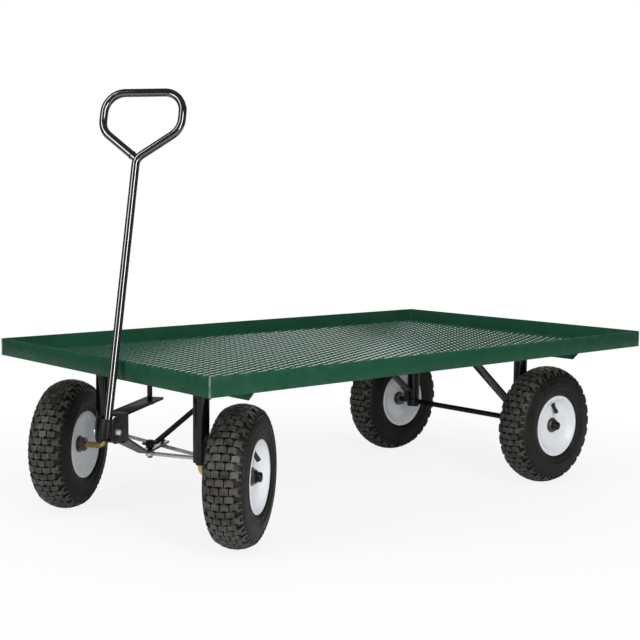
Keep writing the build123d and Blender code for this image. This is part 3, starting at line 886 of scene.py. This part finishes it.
class WAGON_OT_tyres(bpy.types.Operator):
    """Turf tyres: a turned carcass with staggered tread blocks and shoulder lugs."""

    bl_idname = "wagon.tyres"
    bl_label = "Tyres"

    # Section: the crown's arc, the sidewall's arc and the rings that stand proud of it
    crown = 0.1651
    crown_arc = 0.0698
    wall_middle = (0.11626, -0.00667)
    wall_arc = 0.0577
    wall_rings = (
        (0.1470, -0.0012), (0.1430, -0.0006), (0.1400, -0.0006), (0.1390, 0.0006),
        (0.1370, 0.0006), (0.1360, -0.0006), (0.1280, -0.0008), (0.1180, -0.0006),
        (0.1110, -0.0006), (0.1100, 0.0006), (0.1080, 0.0006), (0.1070, -0.0006),
        (0.1010, -0.0004), (0.0980, 0.0002), (0.0965, 0.0012), (0.0945, 0.0012),
        (0.0930, 0.0002), (0.0900, 0.0006), (0.0880, 0.0008), (0.0866, -0.0004),
        (0.0850, -0.0012), (0.0812, -0.0010),
    )
    floor_stations = (0.0, 0.008, 0.016, 0.024, 0.031)
    carcass_steps = 120
    smooth_angle = 32

    # Outlines in millimetres, across the tread and along it
    bell = (
        (-10.0, 8.6), (-10.0, -6.4), (-3.4, -9.7), (3.4, -9.7),
        (10.0, -6.4), (10.0, 8.6), (3.0, 6.2), (-3.0, 6.2),
    )
    bar = ((-6.6, 2.9), (-6.6, -2.9), (6.6, -2.2), (6.6, 2.2))
    block_root = 0.0025
    block_taper = 0.91
    block_rows = ((-1.5, -0.5, 0.5, 1.5), (-1, 0, 1))
    flank_share = 0.80
    cap_share = 0.20
    lug_height = 0.0036
    lug_taper = 0.82
    lug_radius = 0.1490
    lug_sink = 0.0030
    lug_lean = math.radians(52)

    def execute(self, context):
        carcass = smooth(self.carcass(), self.smooth_angle)
        tread = smooth(self.tread(), self.smooth_angle)
        for wheel in WHEELS:
            body = "wheel_" + wheel
            keep(on_wheel(carcass, wheel), body, "tyre_rubber", "tyre_" + wheel)
            keep(on_wheel(tread, wheel), body, "tyre_rubber", finish="Tread Rubber")
        discard(carcass)
        discard(tread)
        return {"FINISHED"}

    def crown_radius(self, across):
        return self.crown - self.crown_arc + math.sqrt(self.crown_arc ** 2 - across ** 2)

    def wall(self, radius, proud=0.0):
        """A point of the sidewall's section, standing proud of the plain arc."""
        middle_radius, middle = self.wall_middle
        across = middle + math.sqrt(self.wall_arc ** 2 - (radius - middle_radius) ** 2)
        return radius, across + proud

    def carcass(self):
        """Groove floor, shoulders, ringed sidewalls and beads."""
        depth = sizes().tread_depth
        floor = [(self.crown_radius(across) - depth, across) for across in self.floor_stations]
        upper = floor + [self.wall(radius, proud) for radius, proud in self.wall_rings]
        lower = [(radius, -height) for radius, height in reversed(upper)]
        return lathe("tyre_carcass", lower + upper[1:] + [lower[0]], self.carcass_steps)

    def block(self, outline, height, taper):
        """One rubber block, its base at z=0: a drawn outline raised and tapered."""
        block = drawn([(across * MM, along * MM, 0.0) for across, along in outline], "NGON")
        for share in (self.flank_share, self.cap_share):
            bpy.ops.mesh.extrude_region_move(
                TRANSFORM_OT_translate={"value": (0, 0, height * share)})
        bpy.ops.transform.resize(value=(taper, taper, 1.0))
        return tidy(block)

    def seat(self, block, across, radius, lean, angle):
        """Set a copy of a block on the tyre, its top outward."""
        piece = copy_of(block, "block")
        outward = Matrix.Rotation(math.radians(90), 4, "Y")
        tilt = Matrix.Rotation(-lean, 4, "Y")
        place = Matrix.Translation((radius, 0, across))
        piece.matrix_world = Matrix.Rotation(angle, 4, "Z") @ place @ tilt @ outward
        return bake_place(piece)

    def tread(self):
        """Two staggered rows of blocks with a lug at each shoulder, repeated round the tyre."""
        size = sizes()
        pitch = size.block_pitch
        height = size.tread_depth + self.block_root
        block = self.block(self.bell, height, self.block_taper)
        lug = self.block(self.bar, self.lug_height, self.lug_taper)
        step = FULL_TURN / size.tread_rows
        pieces = []
        for row, columns in enumerate(self.block_rows):
            angle = row * step / 2
            for column in columns:
                lean = column * pitch / self.crown_arc
                drop = self.crown_arc * (1 - math.cos(lean))
                across = self.crown_arc * math.sin(lean) - height * math.sin(lean)
                base = self.crown - drop - height * math.cos(lean)
                pieces.append(self.seat(block, across, base, lean, angle))
            radius, across = self.wall(self.lug_radius, -self.lug_sink)
            angle = (row + 0.5) * step / 2
            for side in (1, -1):
                pieces.append(self.seat(lug, side * across, radius, side * self.lug_lean, angle))
        rows = joined(pieces, "tread_rows")
        edit(rows)
        count = size.tread_rows
        bpy.ops.mesh.spin(
            steps=count - 1, angle=FULL_TURN * (count - 1) / count, dupli=True,
            center=(0, 0, 0), axis=(0, 0, 1))
        object_mode()
        discard(block)
        discard(lug)
        return rows


class WAGON_OT_wheels(bpy.types.Operator):
    """Pressed rims, hubs, axle caps and valve stems of the four wheels."""

    bl_idname = "wagon.wheels"
    bl_label = "Rims and hubs"

    # Sections as (radius, height) from the wheel's middle, the stem's from its foot
    rim_half = (
        (0.0176, 0.0262), (0.0300, 0.0260), (0.0430, 0.0262), (0.0530, 0.0268),
        (0.0600, 0.0284), (0.0655, 0.0316), (0.0700, 0.0360), (0.0735, 0.0406),
        (0.0762, 0.0436), (0.0790, 0.0456), (0.0822, 0.0464), (0.0846, 0.0459),
        (0.0860, 0.0446), (0.0857, 0.0432), (0.0838, 0.0424), (0.0815, 0.0400),
        (0.0806, 0.0350),
    )
    hub_section = (
        (0.0081, -0.0440), (0.0162, -0.0440), (0.0174, -0.0428), (0.0175, -0.0320),
        (0.0178, -0.0300), (0.0208, -0.0294), (0.0212, -0.0284), (0.0212, -0.0262),
        (0.0175, -0.0255), (0.0175, 0.0255), (0.0212, 0.0262), (0.0212, 0.0284),
        (0.0208, 0.0294), (0.0178, 0.0300), (0.0175, 0.0320), (0.0174, 0.0346),
        (0.0162, 0.0360), (0.0081, 0.0360), (0.0081, -0.0440),
    )
    cap_section = (
        (0.0, 0.0512), (0.0050, 0.0509), (0.0090, 0.0498), (0.0113, 0.0478),
        (0.0122, 0.0450), (0.0124, 0.0384), (0.0150, 0.0380), (0.0154, 0.0372),
        (0.0154, 0.0362), (0.0, 0.0362),
    )
    stem_section = (
        (0.0, 0.0), (0.0074, 0.0), (0.0072, 0.0030), (0.0054, 0.0060), (0.0051, 0.0170),
        (0.0057, 0.0176), (0.0057, 0.0272), (0.0050, 0.0282), (0.0, 0.0282),
    )
    stem_foot = (0.0, 0.0600, 0.0275)
    stem_lean = (0.0, -0.0240, 0.0160)

    def execute(self, context):
        mirrored = [(radius, -height) for radius, height in reversed(self.rim_half)]
        rim = lathe("pressed_rim", [*self.rim_half, *mirrored, self.rim_half[0]], 96)
        hub = lathe("turned_hub", self.hub_section, 40)
        cap = lathe("axle_cap", self.cap_section, 32)
        stem = self.stem()
        for wheel in WHEELS:
            body = "wheel_" + wheel
            axle_body = "frame" if wheel.startswith("rear") else wheel.replace("front", "knuckle")
            self.place(rim, wheel, body, "white_enamel", "rim_" + wheel)
            self.place(hub, wheel, body, "hub_steel", "hub_" + wheel)
            self.place(cap, wheel, axle_body, "hub_steel", finish="Black Powder Coat")
            self.place(stem, wheel, body, "tyre_rubber")
        for pattern in (rim, hub, cap, stem):
            discard(pattern)
        return {"FINISHED"}

    def stem(self):
        """Valve stem that leans out of the dish towards the hub."""
        stem = lathe("valve_stem", self.stem_section, 20)
        lean = Vector(self.stem_lean).to_track_quat("Z", "X").to_matrix().to_4x4()
        stem.matrix_world = Matrix.Translation(self.stem_foot) @ lean
        return bake_place(stem)

    def place(self, pattern, wheel, body, slot, *nodes, finish=None):
        keep(smooth(on_wheel(pattern, wheel)), body, slot, *nodes, finish=finish)


# Running gear


class WAGON_OT_plates(bpy.types.Operator):
    """Flat, bent and turned steel under the tray, with its sheared edges rounded."""

    bl_idname = "wagon.plates"
    bl_label = "Flat steel"

    satin = ("tongue_bar", "tongue_head", "handle_yoke", "brace_front")
    nodes = (
        "cross_member_front", "cross_member_rear", "deck_strap_front", "deck_strap_rear",
        "brace_rear_left", "brace_rear_right", "brace_front", "steering_arm_left",
        "steering_arm_right", "tongue_bar", "tongue_head", "tongue_plate", "handle_yoke",
    )
    bolt_edge = 0.0022

    def execute(self, context):
        for node in self.nodes:
            finish = "Satin Black" if node in self.satin else None
            plate = rounded_node(node, sizes().plate_edge)
            keep(plate, BODY_OF[node], SLOT_OF[node], node, finish=finish)
        bolt = rounded_node("handle_bolt", self.bolt_edge, segments=3)
        keep(bolt, "tongue", "zinc", "handle_bolt")
        return {"FINISHED"}


class WAGON_OT_round_steel(bpy.types.Operator):
    """Tube and bar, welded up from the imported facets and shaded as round."""

    bl_idname = "wagon.round_steel"
    bl_label = "Tube and bar"

    nodes = (
        *LEGS, "rear_axle", "upper_pivot_rod", "spindle_left", "spindle_right", "tie_rod",
        "leg_tie_left", "leg_tie_right", "handle_tube",
    )

    def execute(self, context):
        for node in self.nodes:
            finish = "Gloss Black" if node == "handle_tube" else None
            keep(rounded_node(node), BODY_OF[node], SLOT_OF[node], node, finish=finish)
        return {"FINISHED"}


class WAGON_OT_pivots(bpy.types.Operator):
    """The lower pivot's sleeve and nut, the tie rod's nuts and the front of the handle's yoke."""

    bl_idname = "wagon.pivots"
    bl_label = "Pivots and nuts"

    # Black sleeve and collars, as (radius, height) above the floor
    sleeve = (
        (0.0, 0.2116), (0.0070, 0.2116), (0.0096, 0.2104), (0.0100, 0.2060),
        (0.0064, 0.2056), (0.0064, 0.2006), (0.0098, 0.2004), (0.0102, 0.1990),
        (0.0102, 0.1940), (0.0098, 0.1928), (0.0064, 0.1926), (0.0064, 0.1690),
        (0.0054, 0.1680), (0.0, 0.1680),
    )

    # Nuts as (across the flats, height), with the lift or drop from the node's box
    pivot_nut = (0.0180, 0.0125)
    pivot_nut_lift = 0.0010
    pin_nut = (0.0120, 0.0044)
    pin_nut_drop = 0.0034

    # Half an oval bar on the yoke's web, placed in the handle's own frame
    web_radius = 0.0112
    web_length = 0.0430
    web_flatness = 0.50
    web_edge = 0.0015
    web_place = (0.0160, 0.0, 0.0040)

    def execute(self, context):
        low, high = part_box("lower_pivot_bolt")
        middle = (low + high) / 2
        sleeve = lathe("pivot_sleeve", self.sleeve, 32)
        self.place(sleeve, (middle.x, middle.y, 0.0))
        keep(smooth(sleeve), "frame", "black_paint", "lower_pivot_bolt")
        nut = hex_nut("pivot_nut", *self.pivot_nut)
        self.place(nut, (middle.x, middle.y, low.z + self.pivot_nut_lift))
        keep(nut, "frame", "zinc")
        low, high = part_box("tie_rod")
        across = (low.y + high.y) / 2
        reach = (high.y - low.y) / 2 - (high.x - low.x) / 2
        for number, y in enumerate((across - reach, across, across + reach)):
            nut = hex_nut(f"pin_nut_{number}", *self.pin_nut)
            self.place(nut, ((low.x + high.x) / 2, y, high.z - self.pin_nut_drop))
            keep(nut, "tie_rod", "black_paint")
        self.web()
        return {"FINISHED"}

    def web(self):
        """The bulged front of the handle's yoke, set on its web."""
        begin()
        bpy.ops.mesh.primitive_cylinder_add(
            vertices=48, radius=self.web_radius, depth=self.web_length)
        web = bpy.context.active_object
        web.name = "yoke_web"
        edit(web)
        bpy.ops.transform.resize(value=(self.web_flatness, 1.0, 1.0))
        bpy.ops.mesh.bisect(
            plane_co=(0, 0, 0), plane_no=(-1, 0, 0), clear_outer=True, use_fill=True)
        object_mode()
        tidy(bevel(web, self.web_edge, limit=60))
        web.matrix_world = handle_frame() @ Matrix.Translation(self.web_place)
        keep(smooth(bake_place(web), 40), "handle", "black_paint", finish="Satin Black")

    def place(self, obj, spot):
        obj.location = spot
        bake_place(obj)


class WAGON_OT_welds(bpy.types.Operator):
    """Weld beads at the tray's corners, the tops of the legs and the neck of the grip."""

    bl_idname = "wagon.welds"
    bl_label = "Weld beads"

    smooth_angle = 60
    corner_inset = 0.0014
    corner_ripples = 14
    corner_end = 0.0004
    valley, ridge = (0.0021, 0.2), (0.0030, 0.7)

    # Rings as (radius, thickness, ripples)
    leg_ring = (0.0190, 0.0026, 22)
    leg_drop = 0.0010
    neck_ring = (0.0092, 0.0014, 14)
    neck_run = (0, 0.046, -0.035)
    neck_back = 0.0135
    grip_depth = 0.003975

    def execute(self, context):
        self.corners()
        self.leg_tops()
        self.neck()
        return {"FINISHED"}

    def corners(self):
        """A rippled bead up each outer corner of the tray."""
        low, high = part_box("rail_left")
        left, right = high.y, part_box("rail_right")[0].y
        step = (high.z - low.z) / self.corner_ripples
        profile = [(0.0, low.z + self.corner_end)]
        for ripple in range(self.corner_ripples):
            for radius, share in (self.valley, self.ridge):
                profile.append((radius, low.z + step * (ripple + share)))
        profile.append((0.0, high.z - self.corner_end))
        bead = lathe("corner_bead", profile, 14)
        spots = ((high.x, left), (high.x, right), (low.x, left), (low.x, right))
        for number, spot in enumerate(spots):
            x, y = (value - math.copysign(self.corner_inset, value) for value in spot)
            piece = copy_of(bead, f"corner_bead_{number}")
            piece.location = (x, y, 0.0)
            # The beads take the paler green: part rubbed wear, part painted highlight
            self.settle(piece, "frame", "green_paint", finish="Rubbed and Highlit Enamel")
        discard(bead)

    def leg_tops(self):
        """A ring of weld round the top of each leg."""
        ring = bead_ring("leg_bead", *self.leg_ring)
        for leg in LEGS:
            low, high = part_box(leg)
            piece = copy_of(ring, leg + "_bead")
            piece.location = (
                (low.x + high.x) / 2, (low.y + high.y) / 2, high.z - self.leg_drop)
            self.settle(piece, "frame", "black_paint")
        discard(ring)

    def neck(self):
        """A ring of weld where the grip's free end meets its neck."""
        ring = bead_ring("neck_bead", *self.neck_ring)
        down = Vector(self.neck_run).normalized()
        spot = Vector((self.grip_depth, 0, sizes().handle_neck)) - down * self.neck_back
        turn = down.to_track_quat("Z", "X").to_matrix().to_4x4()
        ring.matrix_world = handle_frame() @ Matrix.Translation(spot) @ turn
        self.settle(ring, "handle", "black_paint", finish="Satin Black")

    def settle(self, piece, body, slot, finish=None):
        keep(smooth(bake_place(piece), self.smooth_angle), body, slot, finish=finish)


# Panel and registration


PROPERTY_GROUPS = (WagonSizes, WagonColours, WagonStage)
OPERATORS = (
    WAGON_OT_finishes,
    WAGON_OT_stage,
    WAGON_OT_rails,
    WAGON_OT_mesh_floor,
    WAGON_OT_tyres,
    WAGON_OT_wheels,
    WAGON_OT_plates,
    WAGON_OT_round_steel,
    WAGON_OT_pivots,
    WAGON_OT_welds,
)


class WAGON_PT_build(bpy.types.Panel):
    """Lists the wagon's operators."""

    bl_idname = "WAGON_PT_build"
    bl_label = "Flatbed wagon"
    bl_space_type = "VIEW_3D"
    bl_region_type = "UI"
    bl_category = "Wagon"

    def draw(self, context):
        for operator in OPERATORS:
            self.layout.operator(operator.bl_idname)


def register():
    for made in (*PROPERTY_GROUPS, *OPERATORS, WAGON_PT_build):
        bpy.utils.register_class(made)
    bpy.types.Scene.wagon_sizes = bpy.props.PointerProperty(type=WagonSizes)
    bpy.types.Scene.wagon_colours = bpy.props.PointerProperty(type=WagonColours)
    bpy.types.Scene.wagon_stage = bpy.props.PointerProperty(type=WagonStage)


def unregister():
    del bpy.types.Scene.wagon_stage
    del bpy.types.Scene.wagon_colours
    del bpy.types.Scene.wagon_sizes
    for made in reversed((*PROPERTY_GROUPS, *OPERATORS, WAGON_PT_build)):
        bpy.utils.unregister_class(made)


def main():
    register()
    for operator in OPERATORS:
        group, call = operator.bl_idname.split(".")
        getattr(getattr(bpy.ops, group), call)()
    object_mode()


if __name__ == "__main__":
    main()
